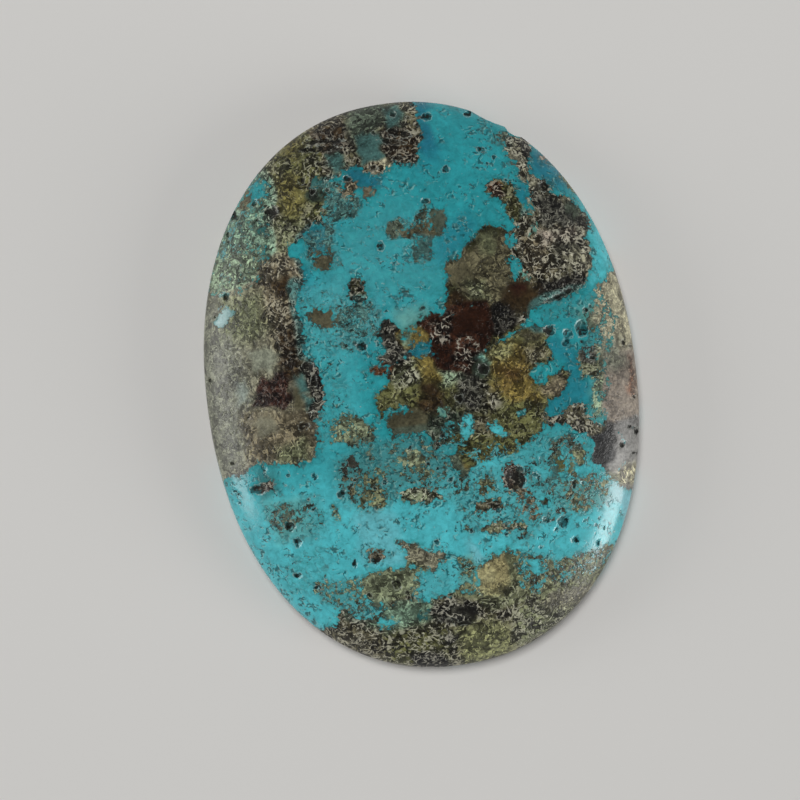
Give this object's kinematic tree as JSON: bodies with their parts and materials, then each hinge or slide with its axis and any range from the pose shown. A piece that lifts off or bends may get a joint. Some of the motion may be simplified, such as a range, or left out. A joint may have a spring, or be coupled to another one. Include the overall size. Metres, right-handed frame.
{
  "type": "turquoise cabochon",
  "caption": "Polished oval cabochon of blue-green turquoise mottled with grey-brown host rock: a low dome over a short girdle, pitted and chipped, with a flat lapped back.",
  "frame": {"origin": "middle of the flat back, at the bottom of the stone", "axes": "+Z out of the crown of the dome, +Y along the length of the oval, towards the end with the chip in its rim, +X across it"},
  "size_m": [0.0304, 0.04, 0.0056],
  "materials": {
    "turquoise_stone": "polished dome mottled with duller grey-brown rock, lapped matte back"
  },
  "bodies": {
    "root": {"turquoise_cabochon": "turquoise_stone"}
  },
  "joints": []
}
